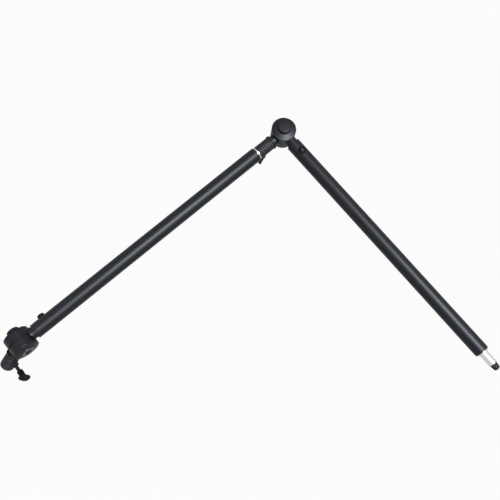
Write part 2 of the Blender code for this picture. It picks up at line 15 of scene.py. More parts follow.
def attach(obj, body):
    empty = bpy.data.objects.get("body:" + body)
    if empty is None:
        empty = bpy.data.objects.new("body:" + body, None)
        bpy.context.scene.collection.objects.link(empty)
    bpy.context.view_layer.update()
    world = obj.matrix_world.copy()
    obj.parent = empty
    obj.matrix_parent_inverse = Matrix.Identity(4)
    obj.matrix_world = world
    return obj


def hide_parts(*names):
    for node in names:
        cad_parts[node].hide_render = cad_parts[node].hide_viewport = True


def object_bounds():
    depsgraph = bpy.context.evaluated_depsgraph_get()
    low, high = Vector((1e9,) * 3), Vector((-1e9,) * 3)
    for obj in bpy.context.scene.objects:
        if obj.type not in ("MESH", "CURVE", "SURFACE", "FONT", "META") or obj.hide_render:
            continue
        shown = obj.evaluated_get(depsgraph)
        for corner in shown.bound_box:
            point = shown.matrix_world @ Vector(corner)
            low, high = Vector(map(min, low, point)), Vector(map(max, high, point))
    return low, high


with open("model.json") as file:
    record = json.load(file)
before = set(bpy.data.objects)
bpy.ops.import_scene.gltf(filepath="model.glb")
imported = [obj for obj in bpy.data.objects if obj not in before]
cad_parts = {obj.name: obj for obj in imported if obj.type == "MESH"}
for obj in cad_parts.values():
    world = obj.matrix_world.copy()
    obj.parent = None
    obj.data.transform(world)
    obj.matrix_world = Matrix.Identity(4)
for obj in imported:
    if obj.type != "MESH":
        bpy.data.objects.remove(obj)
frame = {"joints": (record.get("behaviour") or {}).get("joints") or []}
cad_box = [list(corner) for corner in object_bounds()]
joints = {joint["name"]: joint for joint in frame["joints"]}


# Where the pieces stand. The base receiver's mouth is at the origin with its bore straight up. The first
# section turns on the base pin, the second receiver on the first section's spigot, and the second section on
# the elbow's pin.
def stand(origin, along_x, along_z):
    """The place of a frame, for meshes that are made in millimetres."""
    x, z = Vector(along_x).normalized(), Vector(along_z).normalized()
    turn = Matrix((x, z.cross(x), z)).transposed().to_4x4()
    return Matrix.Translation(origin) @ turn @ Matrix.Scale(0.001, 4)


base_pin = Vector(joints["base_tilt"]["axis"])
elbow_pin = Vector(joints["elbow_fold"]["axis"])
lower_run = Vector(joints["elbow_swivel"]["axis"])
upper_run = Vector(joints["cap_pull"]["axis"])
receiver_places = {
    "base": stand((0, 0, 0), (1, 0, 0), (0, 0, 1)),
    "elbow": stand(joints["elbow_swivel"]["pos_m"], elbow_pin.cross(lower_run), lower_run),
}
section_places = {
    "lower": stand(joints["base_tilt"]["pos_m"], lower_run, base_pin),
    "upper": stand(joints["elbow_fold"]["pos_m"], upper_run, elbow_pin),
}


# The camera stands where the photograph was taken from: above the arm and to one side, a little rolled. Its
# place and lens come from the ends and widths of both tubes, the hinges and the spigot.
camera = bpy.data.objects.new("camera", bpy.data.cameras.new("camera"))
camera.data.sensor_width = 36
camera.data.lens = 46.72
camera.data.clip_start = 0.01
camera_right = Vector((0.5098435, -0.6580723, 0.5540762))
camera_up = Vector((0.1683015, 0.7079297, 0.6859373))
camera_back = Vector((-0.8436434, -0.2564688, 0.471688))
camera.matrix_world = (Matrix.Translation((-0.663729, -0.4017586, 0.8534387))
                       @ Matrix((camera_right, camera_up, camera_back)).transposed().to_4x4())
bpy.context.scene.collection.objects.link(camera)
bpy.context.scene.camera = camera
bpy.context.scene.view_settings.view_transform = "Standard"


# The studio: a pale floor that shows white, as far below the arm as a stand would hold it, a soft lamp above
# and to the right of the camera, a second one in the same place that only shows in glossy finishes, a weak
# one from the left, and an even grey surround.
class Wire:
    """An output of a node. Sums on it add Math nodes to its tree."""

    def __init__(self, tree, socket):
        self.tree = tree
        self.socket = socket

    def math(self, operation, *terms):
        return self.tree.node("ShaderNodeMath", {"operation": operation}, dict(enumerate(terms)))

    def __add__(self, other):
        return self.math("ADD", self, other)

    def __sub__(self, other):
        return self.math("SUBTRACT", self, other)

    def __rsub__(self, other):
        return self.math("SUBTRACT", other, self)

    def __mul__(self, other):
        return self.math("MULTIPLY", self, other)

    def __truediv__(self, other):
        return self.math("DIVIDE", self, other)

    def __rtruediv__(self, other):
        return self.math("DIVIDE", other, self)

    __radd__ = __add__
    __rmul__ = __mul__

    def between(self, low, high):
        """0 below low and 1 above high, with a soft step between."""
        return self.tree.node("ShaderNodeMapRange", {"interpolation_type": "SMOOTHSTEP"},
                              {"Value": self, "From Min": low, "From Max": high})

    def other(self, name):
        """Another output of the same node."""
        return Wire(self.tree, self.socket.node.outputs[name])


class Tree:
    """A node tree that is being written."""

    def __init__(self, nodes):
        self.nodes = nodes
        nodes.nodes.clear()

    def node(self, kind, settings=None, inputs=None, output=0):
        """Adds a node: its settings first, then the values or links of its sockets. Returns one output."""
        made = self.nodes.nodes.new(kind)
        for name, value in (settings or {}).items():
            setattr(made, name, value)
        by_identifier = {socket.identifier: socket for socket in made.inputs}
        for name, value in (inputs or {}).items():
            socket = by_identifier.get(name) or made.inputs[name]
            if isinstance(value, Wire):
                self.nodes.links.new(value.socket, socket)
            else:
                socket.default_value = value
        found = [socket for socket in made.outputs if socket.identifier == output]
        if not made.outputs:
            return None
        return Wire(self, found[0] if found else made.outputs[output])


def seen_directly(tree):
    """1 for a ray from the camera, a mirror or clear glass, and 0 for the rays that light the object."""
    path = tree.node("ShaderNodeLightPath", output="Is Camera Ray")
    return path.math("MINIMUM", path + path.other("Is Glossy Ray") + path.other("Is Transmission Ray"), 1)


paper_grey, glow_share = 0.80, 0.95
floor_material = bpy.data.materials.new("pale_floor")
floor_material.use_nodes = True
tree = Tree(floor_material.node_tree)
paper = tree.node("ShaderNodeBsdfDiffuse", inputs={"Color": (paper_grey, paper_grey, paper_grey, 1)})
glow = tree.node("ShaderNodeEmission", inputs={"Color": (1, 1, 1, 1), "Strength": 1.0})
shown = tree.node("ShaderNodeMixShader", inputs={0: seen_directly(tree) * glow_share, 1: paper, 2: glow})
tree.node("ShaderNodeOutputMaterial", inputs={"Surface": shown})
half_side, stand_height = 40, 1.2
floor_z = cad_box[0][2] - stand_height
floor_mesh = bpy.data.meshes.new("floor")
floor_mesh.from_pydata([(-half_side, -half_side, floor_z), (half_side, -half_side, floor_z),
                        (half_side, half_side, floor_z), (-half_side, half_side, floor_z)],
                       [], [(0, 1, 2, 3)])
floor_mesh.materials.append(floor_material)
floor = bpy.data.objects.new("floor", floor_mesh)
bpy.context.scene.collection.objects.link(floor)

world = bpy.data.worlds.new("studio")
bpy.context.scene.world = world
world.use_nodes = True
tree = Tree(world.node_tree)
surround, backdrop_white = 0.35, 0.975
seen = seen_directly(tree)
backdrop = tree.node("ShaderNodeBackground", inputs={
    "Color": (1, 1, 1, 1), "Strength": seen * (backdrop_white - surround) + surround})
tree.node("ShaderNodeOutputWorld", inputs={"Surface": backdrop})

arm_middle = Vector((0.2, -0.15, 0.3))


def soft_lamp(name, toward, distance, size, power):
    """A square lamp that faces the arm's middle. Its direction is given along the camera's right, up and
    back."""
    lamp = bpy.data.objects.new(name, bpy.data.lights.new(name, "AREA"))
    lamp.data.shape = "SQUARE"
    lamp.data.size = size
    lamp.data.energy = power
    right, up, back = toward
    direction = (camera_right * right + camera_up * up + camera_back * back).normalized()
    turn = direction.to_track_quat("Z", "Y").to_matrix().to_4x4()
    lamp.matrix_world = Matrix.Translation(arm_middle + direction * distance) @ turn
    lamp.visible_camera = False
    bpy.context.scene.collection.objects.link(lamp)
    return lamp


toward_key = (0.35, 0.12, 0.93)
soft_lamp("key_lamp", toward_key, distance=4.0, size=0.9, power=95)
soft_lamp("gloss_lamp", toward_key, distance=4.0, size=0.9, power=395).visible_diffuse = False
soft_lamp("side_lamp", (-0.75, 0.35, 0.45), distance=3.6, size=1.6, power=16)


# The two receivers: one black painted casting each, with half a hinge, a flared neck, a collar, a barrel of
# square knurled pads and a boss for the thumb screw. The socket is bored from below, and stops short of the
# neck.
def outline(points, steps=5):
    """Rounds an outline's corners. A point is (across, up) or (across, up, corner radius), in millimetres. A
    point a little way off each rounding keeps the shading of the flats flat."""
    hold = 0.35
    made = []
    for i, point in enumerate(points):
        corner = Vector(point[:2])
        radius = point[2] if len(point) > 2 else 0
        if not radius:
            made.append(tuple(corner))
            continue
        before = Vector(points[i - 1][:2]) - corner
        after = Vector(points[(i + 1) % len(points)][:2]) - corner
        half = before.angle(after) / 2
        reach = radius / math.tan(half)
        centre = corner + (before.normalized() + after.normalized()).normalized() * radius / math.sin(half)
        start, end = corner + before.normalized() * reach, corner + after.normalized() * reach
        sweep = math.pi - 2 * half
        if before.length > reach + 2 * hold:
            made.append(tuple(start + before.normalized() * hold))
        for step in range(steps + 1):
            share = step / steps
            spoke = ((start - centre) * math.sin((1 - share) * sweep)
                     + (end - centre) * math.sin(share * sweep))
            made.append(tuple(centre + spoke / math.sin(sweep)))
        if after.length > reach + 2 * hold:
            made.append(tuple(end + after.normalized() * hold))
    return made


def turned(profile, steps=96, ring=False):
    """A turned mesh from (radius, height) points. A ring's profile closes on itself."""
    shape = bmesh.new()
    rows = []
    for radius, height in profile:
        if radius < 1e-6:
            rows.append([shape.verts.new((0, 0, height))])
        else:
            turns = [math.tau * i / steps for i in range(steps)]
            rows.append([shape.verts.new((radius * math.cos(turn), radius * math.sin(turn), height))
                         for turn in turns])
    for first, second in zip(rows, rows[1:] + rows[:1] if ring else rows[1:]):
        for i in range(steps):
            j = (i + 1) % steps
            corners = list(dict.fromkeys([first[i % len(first)], second[i % len(second)],
                                          second[j % len(second)], first[j % len(first)]]))
            if len(corners) > 2:
                shape.faces.new(corners)
    return closed_mesh(shape)


def closed_mesh(shape):
    """A mesh of a closed bmesh, with its faces out."""
    if shape.calc_volume(signed=True) < 0:
        bmesh.ops.reverse_faces(shape, faces=shape.faces)
    mesh = bpy.data.meshes.new("shape")
    shape.to_mesh(mesh)
    shape.free()
    return mesh


def moved(mesh, *steps):
    """The mesh after each matrix in turn."""
    for step in steps:
        mesh.transform(step)
    return mesh


def evaluated(mesh, add_modifiers):
    """The mesh after the modifiers that a function adds to its object."""
    holder = bpy.data.objects.new("holder", mesh)
    bpy.context.scene.collection.objects.link(holder)
    add_modifiers(holder)
    graph = bpy.context.evaluated_depsgraph_get()
    made = bpy.data.meshes.new_from_object(holder.evaluated_get(graph), preserve_all_data_layers=True,
                                           depsgraph=graph)
    bpy.data.objects.remove(holder)
    return made


def combined(mesh, other, operation="DIFFERENCE"):
    """The mesh after the other is cut from it or joined to it, or only what both share."""
    tool = bpy.data.objects.new("tool", other)
    bpy.context.scene.collection.objects.link(tool)

    def add_boolean(holder):
        modifier = holder.modifiers.new("Combine", "BOOLEAN")
        modifier.solver = "MANIFOLD"
        modifier.operation = operation
        modifier.object = tool

    made = evaluated(mesh, add_boolean)
    bpy.data.objects.remove(tool)
    return made


def rod(radius, low, high, steps=96):
    """A plain upright bar, round unless it has few sides."""
    return turned([(0, high), (radius, high), (radius, low), (0, low)], steps)


def group_tree(name, inputs):
    """A geometry tree with named inputs. Returns its group, the tree and a wire for each input."""
    group = bpy.data.node_groups.new(name, "GeometryNodeTree")
    group.interface.new_socket("Geometry", in_out="INPUT", socket_type="NodeSocketGeometry")
    group.interface.new_socket("Geometry", in_out="OUTPUT", socket_type="NodeSocketGeometry")
    for label, kind in inputs.items():
        group.interface.new_socket(label, in_out="INPUT", socket_type=kind)
    tree = Tree(group)
    start = tree.node("NodeGroupInput")
    return group, tree, {label: start.other(label) for label in ["Geometry", *inputs]}


def shaped_by(mesh, group, **values):
    """The mesh after a geometry tree, with its named inputs set."""
    def add_tree(holder):
        modifier = holder.modifiers.new(group.name, "NODES")
        modifier.node_group = group
        for item in group.interface.items_tree:
            key = item.name.lower().replace(" ", "_")
            if item.in_out == "INPUT" and key in values:
                modifier[item.identifier] = values[key]

    return evaluated(mesh, add_tree)


def end_tree(tree, geometry, material):
    """Makes instances real, sets the material and ends the tree."""
    real = tree.node("GeometryNodeRealizeInstances", inputs={"Geometry": geometry})
    done = tree.node("GeometryNodeSetMaterial", inputs={"Geometry": real, "Material": material})
    tree.node("NodeGroupOutput", inputs={"Geometry": done})


def place_piece(name, mesh, place, body, node, material):
    """Puts a copy of the mesh in its place, marks its worn edges, gives it its finish, hangs it on its body,
    and hides the imported node that it stands for."""
    mesh = mesh.copy()
    mesh.name = name
    own = mesh.attributes.new("own", "FLOAT_VECTOR", "POINT")
    worn = mesh.attributes.new("worn", "FLOAT", "POINT")
    spots = [vertex.co.copy() for vertex in mesh.vertices]
    normals = [vertex.normal.copy() for vertex in mesh.vertices]
    bulge = [0.0] * len(spots)
    ends = [0] * len(spots)
    for edge in mesh.edges:
        near, far = edge.vertices
        along = (spots[near] - spots[far]).normalized()
        bulge[near] += normals[near].dot(along)
        bulge[far] -= normals[far].dot(along)
        ends[near] += 1
        ends[far] += 1
    own.data.foreach_set("vector", [value for spot in spots for value in spot])
    worn.data.foreach_set("value", [total / max(count, 1) for total, count in zip(bulge, ends)])
    mesh.transform(place)
    mesh.shade_smooth()
    mesh.set_sharp_from_angle(angle=math.radians(38))

    def add_normals(holder):
        modifier = holder.modifiers.new("Normals", "WEIGHTED_NORMAL")
        modifier.keep_sharp = True
        modifier.weight = 80

    mesh = evaluated(mesh, add_normals)
    mesh.name = name
    mesh.materials.clear()
    mesh.materials.append(material)
    piece = bpy.data.objects.new(name, mesh)
    bpy.context.scene.collection.objects.link(piece)
    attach(piece, body)
    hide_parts(node)


def new_material(name, roughness, metallic=0.0, gloss=0.5, tint=(1, 1, 1, 1)):
    """A Principled material. Returns it with its tree, its shader node, and wires for the piece's own place,
    in millimetres, and for how far a spot stands out on an edge."""
    material = bpy.data.materials.new(name)
    material.use_nodes = True
    tree = Tree(material.node_tree)
    surface = tree.node("ShaderNodeBsdfPrincipled", inputs={
        "Roughness": roughness, "Metallic": metallic, "Specular IOR Level": gloss, "Specular Tint": tint})
    tree.node("ShaderNodeOutputMaterial", inputs={"Surface": surface})
    own = tree.node("ShaderNodeAttribute", {"attribute_name": "own"}, output="Vector")
    worn = tree.node("ShaderNodeAttribute", {"attribute_name": "worn"}, output="Fac")
    return material, tree, surface.socket.node, own, worn


def noise(tree, place, scale, detail=2.0, roughness=0.5, stretch=None):
    """Noise from 0 to 1 at so many grains a millimetre, stretched by a factor for each axis."""
    if stretch:
        place = tree.node("ShaderNodeVectorMath", {"operation": "MULTIPLY"}, {0: place, 1: stretch})
    return tree.node("ShaderNodeTexNoise", inputs={"Vector": place, "Scale": scale, "Detail": detail,
                                                   "Roughness": roughness}, output="Fac")


def mixed(tree, share, first, second):
    """A colour between two."""
    ends = {"A_Color": first if isinstance(first, Wire) else (*first, 1),
            "B_Color": second if isinstance(second, Wire) else (*second, 1)}
    return tree.node("ShaderNodeMix", {"data_type": "RGBA"}, {"Factor_Float": share, **ends},
                     output="Result_Color")


def feed(tree, shader, **wires):
    """Links wires to the shader's sockets. Height is a wire and a depth in metres, for a Bump node."""
    for name, wire in wires.items():
        if name == "Height":
            height, depth = wire
            bump = tree.node("ShaderNodeBump", inputs={"Height": height, "Distance": depth, "Strength": 1.0})
            tree.nodes.links.new(bump.socket, shader.inputs["Normal"])
        else:
            tree.nodes.links.new(wire.socket, shader.inputs[name.replace("_", " ")])


cool = (0.84, 0.89, 1.0, 1)
cast_paint, tree, shader, own, worn = new_material("cast_paint", 0.45, gloss=0.21, tint=cool)
peel = noise(tree, own, 1.1, 2)
grit = noise(tree, own, 5.5, 3, 0.6)
cloud = noise(tree, own, 0.06, 3)
edge = worn.between(0.035, 0.13) * noise(tree, own, 0.5, 3, 0.7).between(0.40, 0.62)
colour = mixed(tree, cloud, (0.0040, 0.0045, 0.0064), (0.0066, 0.0073, 0.0098))
feed(tree, shader, Base_Color=mixed(tree, edge * 0.35, colour, (0.075, 0.077, 0.082)),
     Roughness=0.37 + cloud * 0.10 + grit * 0.10 - edge * 0.06, Height=(peel * 0.7 + grit * 0.3, 0.00003))

hub_r, half_start, half_end = 21.5, 0.9, 15.5
neck_r, tube_r = 10.0, 12.7
collar_start, collar_end = 27.0, 30.2
receiver_length = 60.0
bolt_hole_r, through_hub = 5.3, 20
clear_r = 22.3
flare_start, flare_end, flare = 12.5, 24.0, 3.6


def hinge_half():
    """Half of the hub, as a thick disc with a small radius on its outer edge."""
    profile = [(0, half_end), (hub_r, half_end, 1.0), (hub_r, half_start, 0.4), (0, half_start)]
    return turned(outline(profile), 144)


def neck_outline(after_collar):
    """The neck's flare, the collar and what follows it, measured from the hinge's axis."""
    count = 10
    points = [(0, flare_start)]
    for i in range(count):
        share = i / count
        points.append((neck_r + flare * (1 - share) ** 2, flare_start + (flare_end - flare_start) * share))
    points += [(neck_r, flare_end), (neck_r, collar_start, 0.7), (tube_r, collar_start, 0.6),
               (tube_r, collar_end, 1.0), (after_collar, collar_end)]
    return points


def tall_neck():
    """An oval along X that falls from the hub's face to the collar, with its tall side up Z."""
    half_width, count = 9.8, 48
    tops = [(13.5, 15.0), (17.4, 15.0), (18.5, 14.8), (20.0, 14.1), (22.0, 12.9), (24.0, 11.6), (26.0, 10.4),
            (27.2, half_width)]
    shape = bmesh.new()
    rings = []
    for x, top in tops:
        heights = [top if 2 * i < count else half_width for i in range(count)]
        rings.append([shape.verts.new((x, half_width * math.cos(math.tau * i / count),
                                       height * math.sin(math.tau * i / count)))
                      for i, height in enumerate(heights)])
    for first, second in zip(rings, rings[1:]):
        for i in range(count):
            j = (i + 1) % count
            shape.faces.new((first[i], first[j], second[j], second[i]))
    shape.faces.new(rings[0])
    shape.faces.new(rings[-1])
    bmesh.ops.recalc_face_normals(shape, faces=shape.faces)
    return closed_mesh(shape)


barrel_r, pad_height = 11.5, 0.55
band_count, pads_around = 6, 32
band_start, band_end = collar_end, 59.2
groove_floor, groove_ramp = 0.30, 0.42
socket_r, socket_end = 8.3, 35.5
relief_r, relief_end = 5.6, 28.6


def from_centre(across, deep):
    """How far a spot is from an upright axis, from its distances along X and along Y."""
    return across.math("SQRT", across * across + deep * deep)


def from_whole(wire):
    """How far a number is from the nearest whole one."""
    past = wire - wire.math("ROUND", wire)
    return past.math("ABSOLUTE", past)


# Raises square pads on a round bar, in bands along Z, with grooves between the bands and between the pads
pads, tree, given = group_tree("knurled_pads", {
    "Bands": "NodeSocketFloat", "Pads Around": "NodeSocketFloat", "Start": "NodeSocketFloat",
    "End": "NodeSocketFloat", "Bar Radius": "NodeSocketFloat", "Pad Height": "NodeSocketFloat",
    "Groove Floor": "NodeSocketFloat", "Groove Ramp": "NodeSocketFloat", "Side Depth": "NodeSocketFloat"})
spot = tree.node("GeometryNodeInputPosition")
across = tree.node("ShaderNodeSeparateXYZ", inputs={0: spot}, output="X")
deep, height = across.other("Y"), across.other("Z")
from_axis = from_centre(across, deep)
band_width = (given["End"] - given["Start"]) / given["Bands"]
from_groove = from_whole((height - given["Start"]) / band_width) * band_width
pad_number = across.math("ARCTAN2", deep, across) / math.tau * given["Pads Around"]
from_side = from_whole(pad_number) * math.tau * given["Bar Radius"] / given["Pads Around"]
side_floor = given["Groove Floor"] * 0.5
band_rise = from_groove.between(given["Groove Floor"], given["Groove Floor"] + given["Groove Ramp"])
side_rise = from_side.between(side_floor, side_floor + given["Groove Ramp"])
rise = band_rise * (side_rise * given["Side Depth"] + (1 - given["Side Depth"]))
near_bar = 0.05
on_bar = (across.math("GREATER_THAN", from_axis, given["Bar Radius"] - near_bar)
          * across.math("LESS_THAN", from_axis, given["Bar Radius"] + near_bar)
          * across.math("GREATER_THAN", height, given["Start"])
          * across.math("LESS_THAN", height, given["End"]))
lift = rise * on_bar * given["Pad Height"] / from_axis
outward = tree.node("ShaderNodeCombineXYZ", inputs={"X": across * lift, "Y": deep * lift})
raised = tree.node("GeometryNodeSetPosition", inputs={"Geometry": given["Geometry"], "Offset": outward})
end_tree(tree, raised, cast_paint)

bar_r, rim_r = barrel_r - pad_height, barrel_r - 0.1
mouth_lead, socket_lead, steps_per_pad = 0.8, 1.5, 10
barrel = neck_outline(bar_r)
band_pitch = (band_end - band_start) / band_count
for band in range(band_count):
    low, high = band_start + band * band_pitch, band_start + (band + 1) * band_pitch
    barrel += [(bar_r, low + groove_floor + groove_ramp * share) for share in (0.0, 0.5, 1.0)]
    barrel += [(bar_r, low + band_pitch * share) for share in (0.3, 0.5, 0.7)]
    barrel += [(bar_r, high - groove_floor - groove_ramp * share) for share in (1.0, 0.5, 0.0)]
barrel += [(bar_r, band_end), (rim_r, band_end + 0.15), (rim_r, receiver_length, 0.35),
           (socket_r + mouth_lead, receiver_length), (socket_r, receiver_length - mouth_lead),
           (socket_r, socket_end), (relief_r, socket_end - socket_lead), (relief_r, relief_end),
           (0, relief_end)]
barrel = shaped_by(turned(outline(barrel), pads_around * steps_per_pad), pads, bands=float(band_count),
                   pads_around=float(pads_around), start=band_start, end=band_end, bar_radius=bar_r,
                   pad_height=pad_height, groove_floor=groove_floor, groove_ramp=groove_ramp, side_depth=0.45)
hinge_up = Matrix.Translation((0, 0, receiver_length))
facing_down = Matrix.Rotation(math.pi, 4, "X")
to_bolt_side = Matrix.Rotation(math.pi / 2, 4, "X")
to_plug_side = Matrix.Rotation(-math.pi / 2, 4, "X")
screw_height = 16.0
at_screw = Matrix.Translation((0, 0, screw_height))
boss_r, boss_low, boss_reach = 6.0, 8.8, 14.4
screw_hole_r, hole_low, hole_lead = 3.5, 4, 0.5

casting = combined(moved(hinge_half(), to_bolt_side, hinge_up), moved(barrel, facing_down, hinge_up), "UNION")
bolt_up_along_down = Matrix.Rotation(math.pi / 2, 4, "Y") @ Matrix.Rotation(math.pi / 2, 4, "X")
casting = combined(casting, moved(tall_neck(), bolt_up_along_down, hinge_up), "UNION")
casting = combined(casting, moved(rod(clear_r, -half_start, clear_r), to_plug_side, hinge_up))
boss = turned(outline([(0, boss_reach), (boss_r, boss_reach, 0.6), (boss_r, boss_low), (0, boss_low)]), 64)
casting = combined(casting, moved(boss, to_bolt_side, at_screw), "UNION")
casting = combined(casting, moved(rod(bolt_hole_r, -through_hub, through_hub), to_bolt_side, hinge_up))
mouth = [(0, boss_reach + 2), (screw_hole_r + hole_lead, boss_reach + 2),
         (screw_hole_r + hole_lead, boss_reach), (screw_hole_r, boss_reach - hole_lead),
         (screw_hole_r, hole_low), (0, hole_low)]
casting = combined(casting, moved(turned(mouth, 64), to_bolt_side, at_screw))
for end, place in receiver_places.items():
    place_piece(f"{end}_receiver_casting", casting, place, end, f"{end}_receiver", cast_paint)


# The two hinge heads: the other half of each hub, cast with a neck, a collar and a stem that goes into the
# tube. The hub has a six-sided pocket for the nut, and the stem a hole for the screw that holds the tube.
stem_r, stem_end = 10.4, 64.5
stem_screw_x, stem_screw_hole_r = 49.0, 2.8
stem_hole_low, stem_hole_high = 3.4, 14.5
pocket_across, pocket_low, pocket_high = 17.6, 7.3, 19.2
along_tube = Matrix.Rotation(math.pi / 2, 4, "Y")


def hexagon(across_flats, low, high):
    """A six-sided bar."""
    return rod(across_flats / 2 / math.cos(math.pi / 6), low, high, 6)


stem = neck_outline(stem_r) + [(stem_r, stem_end, 1.0), (0, stem_end)]
stem = moved(turned(outline(stem), 144), along_tube)
at_stem_screw = Matrix.Translation((stem_screw_x, 0, 0))
head = combined(combined(hinge_half(), stem, "UNION"), tall_neck(), "UNION")
head = combined(head, rod(clear_r, -clear_r, half_start))
head = combined(head, moved(rod(stem_screw_hole_r, stem_hole_low, stem_hole_high, 48), at_stem_screw))
head = combined(head, rod(bolt_hole_r, -through_hub, through_hub))
head = combined(head, hexagon(pocket_across, pocket_low, pocket_high))
for section, place in section_places.items():
    place_piece(f"{section}_head_casting", head, place, f"{section}_arm",
                f"{section}_hinge_head", cast_paint)


# The four hub covers: painted cones on the hubs' outer faces. Those on the bolt's side have a wide hole for
# the bolt's head, and those on the other side a hole for the plug.
cover_low, cover_top, cover_top_r, cover_rim = 15.8, 19.2, 12.4, 0.5


def hub_cover(hole_r):
    """A cone with a flat top, a short straight rim and a hole."""
    return turned(outline([(hole_r, cover_top, 0.3), (cover_top_r, cover_top, 1.0),
                           (hub_r, cover_low + cover_rim, 0.3), (hub_r, cover_low),
                           (hole_r, cover_low)]), 144, ring=True)


bolt_head_r, plug_neck_r, gap = 11.0, 8.2, 0.3
for end, place in receiver_places.items():
    place_piece(f"{end}_bolt_cone", moved(hub_cover(bolt_head_r + gap), to_bolt_side, hinge_up), place, end,
                f"{end}_bolt_cover", cast_paint)
for section, place in section_places.items():
    place_piece(f"{section}_plug_cone", hub_cover(plug_neck_r + gap), place, f"{section}_arm",
                f"{section}_plug_cover", cast_paint)


# The plugs that close the nuts' holes: moulded black plastic, finely textured, with a waist under a round
# head that is slightly crowned.
moulded, tree, shader, own, worn = new_material("moulded_plastic", 0.42, gloss=0.21, tint=cool)
grain = noise(tree, own, 2.6, 3, 0.55)
cloud = noise(tree, own, 0.12, 2)
colour = mixed(tree, cloud, (0.0040, 0.0044, 0.0062), (0.0064, 0.0069, 0.0090))
feed(tree, shader, Base_Color=mixed(tree, worn.between(0.03, 0.14) * 0.25, colour, (0.05, 0.05, 0.054)),
     Roughness=0.36 + grain * 0.10 + cloud * 0.05, Height=(grain, 0.000025))
plug_r, plug_top, plug_low, plug_end, crown_fall = 10.4, 26.2, 21.6, 16.1, 0.35
crown = [(plug_r * share, plug_top - crown_fall * share ** 2) for share in (0.0, 0.2, 0.4, 0.6, 0.8)]
plug = crown + [(plug_r, plug_top - crown_fall, 1.4), (plug_r, plug_low, 0.5), (plug_neck_r, plug_low, 0.4),
                (plug_neck_r, plug_end, 0.3), (0, plug_end)]
plug = turned(outline(plug), 96)
for section, place in section_places.items():
    place_piece(f"{section}_round_plug", plug, place, f"{section}_arm",
                f"{section}_hinge_plug", moulded)


# The tension bolts: turned steel with a grey finish and a wide flat head that holds a 10 mm hex key. Their
# thread is cut where the nut sits.
def steel_finish(name, dull, light, roughness, middle, face, inward, recess_r, recess_painted_light):
    """Turned steel between two colours, with fine rings about an upright axis. Its key's recess, inward from
    the height of the head's face, is painted a plain colour instead of metal: painted shade in the bolts'
    recesses, and a painted highlight in the stem screws'."""
    material, tree, shader, own, worn = new_material(name, roughness, 1.0)
    across = tree.node("ShaderNodeSeparateXYZ", inputs={0: own}, output="X")
    deep, height = across.other("Y"), across.other("Z")
    from_axis = from_centre(across - middle, deep)
    # Inside the key's recess the colour is painted light, not metal
    in_painted_recess = ((1 - from_axis.between(recess_r - 0.1, recess_r))
                 * ((height - face) * inward).between(0.2, 0.7))
    rings = tree.node("ShaderNodeCombineXYZ", inputs={"X": from_axis, "Z": height})
    turning = noise(tree, rings, 5.0, 4, 0.65)
    smudge = noise(tree, own, 0.18, 3, 0.6)
    feed(tree, shader, Base_Color=mixed(tree, in_painted_recess, mixed(tree, smudge, dull, light), recess_painted_light),
         Metallic=1 - in_painted_recess, Height=(turning, 0.000006),
         Roughness=turning * 0.14 + smudge.between(0.45, 0.7) * 0.12 + roughness)
    return material


bolt_r, bolt_end, head_low, head_seat = 5.0, 14.7, -20.0, -17.3
bolt_pitch, bolt_thread_low = 1.5, 6.0
bolt_key, bolt_key_depth, lead_r, lead_end_r, lead_depth = 10.0, 2.0, 6.0, 5.1, 0.9
# The bolt's key recess is painted near black: painted shade
bolt_steel = steel_finish("bolt_steel", (0.62, 0.625, 0.635), (0.76, 0.765, 0.775), 0.24, middle=0,
                          face=head_low, inward=1, recess_r=5.9, recess_painted_light=(0.004, 0.004, 0.005))

# Winds a thread round a bar: a ridge that follows a spiral, thinner at both of its ends
thread, tree, given = group_tree("screw_thread", {
    "Radius": "NodeSocketFloat", "Pitch": "NodeSocketFloat", "Turns": "NodeSocketFloat",
    "Depth": "NodeSocketFloat", "Low": "NodeSocketFloat"})
spiral = tree.node("GeometryNodeCurveSpiral", inputs={
    "Resolution": 32, "Rotations": given["Turns"], "Start Radius": given["Radius"] - given["Depth"],
    "End Radius": given["Radius"] - given["Depth"], "Height": given["Pitch"] * given["Turns"]})
upright = tree.node("GeometryNodeSetCurveNormal", {"mode": "Z_UP"}, {"Curve": spiral})
ridge_share, run_out, thinnest = 0.92, 2.5, 0.05
ridge = tree.node("GeometryNodeCurvePrimitiveQuadrilateral", {"mode": "KITE"}, {
    "Width": given["Pitch"] * ridge_share, "Bottom Height": given["Depth"], "Top Height": given["Depth"]})
share = tree.node("GeometryNodeSplineParameter", output="Factor")
to_end = share.math("MINIMUM", share, 1 - share) * given["Turns"] * run_out
thickness = to_end.math("MINIMUM", to_end + thinnest, 1)
swept = tree.node("GeometryNodeCurveToMesh", inputs={
    "Curve": upright, "Profile Curve": ridge, "Scale": thickness, "Fill Caps": True})
lifted = tree.node("GeometryNodeTransform", inputs={
    "Geometry": swept, "Translation": tree.node("ShaderNodeCombineXYZ", inputs={"Z": given["Low"]})})
both = tree.node("GeometryNodeJoinGeometry", inputs={"Geometry": lifted})
tree.nodes.links.new(given["Geometry"].socket, both.socket.node.inputs[0])
end_tree(tree, both, bolt_steel)


def threaded(mesh, radius, pitch, low, high):
    """Winds a thread round a bar between two heights. The bar stops short of the crest by the thread's
    depth."""
    return shaped_by(mesh, thread, radius=radius, pitch=pitch, turns=(high - low) / pitch,
                     depth=thread_depth(pitch), low=low)


def thread_depth(pitch):
    """How deep a thread of this pitch is cut."""
    return 0.55 * pitch


